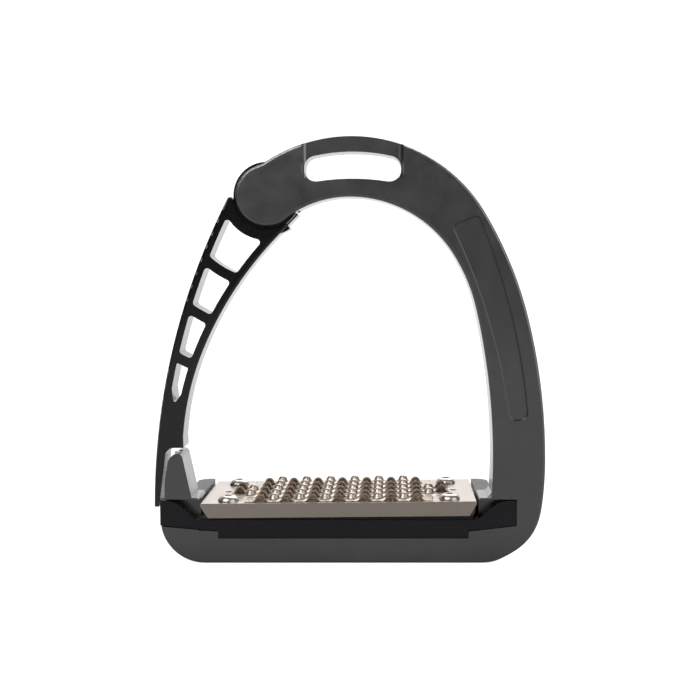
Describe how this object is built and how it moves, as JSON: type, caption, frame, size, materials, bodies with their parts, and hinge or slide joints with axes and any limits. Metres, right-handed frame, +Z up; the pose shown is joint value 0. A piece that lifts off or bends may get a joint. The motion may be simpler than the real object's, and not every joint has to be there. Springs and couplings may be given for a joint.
{
  "type": "stirrup iron",
  "caption": "Safety stirrup iron with a slotted arch, a solid leg, a sprung opening arm on the other side and a toothed metal tread on a black carrier.",
  "frame": {"origin": "centre of the base bar's flat underside, midway between its front and back faces", "axes": "+Z up through the leather slot, +X towards the solid leg, -X towards the opening arm, -Y the face seen with the arm on the left, +Y backwards, where the tread stands out"},
  "size_m": [0.1537, 0.0498, 0.1668],
  "materials": {
    "frame_anodised": "fine bead-blasted, dark grey anodised",
    "arm_black": "satin black anodised",
    "carrier_black": "satin moulded black",
    "tread_metal": "satin, warm grey anodised",
    "grip_metal": "satin, warm grey",
    "screw_steel": "bright",
    "steel": "ground",
    "magnet": "nickel plated",
    "brass": "turned",
    "washer": "smooth acetal"
  },
  "bodies": {
    "iron": {"base_insert_1": "brass", "base_insert_2": "brass", "base_screw_1": "screw_steel", "base_screw_2": "screw_steel", "frame": "frame_anodised", "grip_plate": "grip_metal", "pivot_pin": "steel", "post_magnet": "magnet", "thrust_washer_back": "washer", "thrust_washer_front": "washer", "torsion_spring": "steel", "tread_carrier": "carrier_black", "tread_insert_1": "brass", "tread_insert_2": "brass", "tread_insert_3": "brass", "tread_insert_4": "brass", "tread_plate": "tread_metal", "tread_screw_1": "screw_steel", "tread_screw_2": "screw_steel", "tread_screw_3": "screw_steel", "tread_screw_4": "screw_steel"},
    "arm": {"release_arm": "arm_black", "arm_keeper": "steel", "pivot_bush": "brass"}
  },
  "joints": [
    {"name": "arm_release", "type": "hinge", "parent": "iron", "child": "arm", "pos_m": [-0.033, 0, 0.144], "axis": [0, 1, 0], "range_deg": [0, 75], "stiffness_Nm_per_rad": 0.15, "springref_deg": -45.84, "deforming": ["torsion_spring"]}
  ]
}
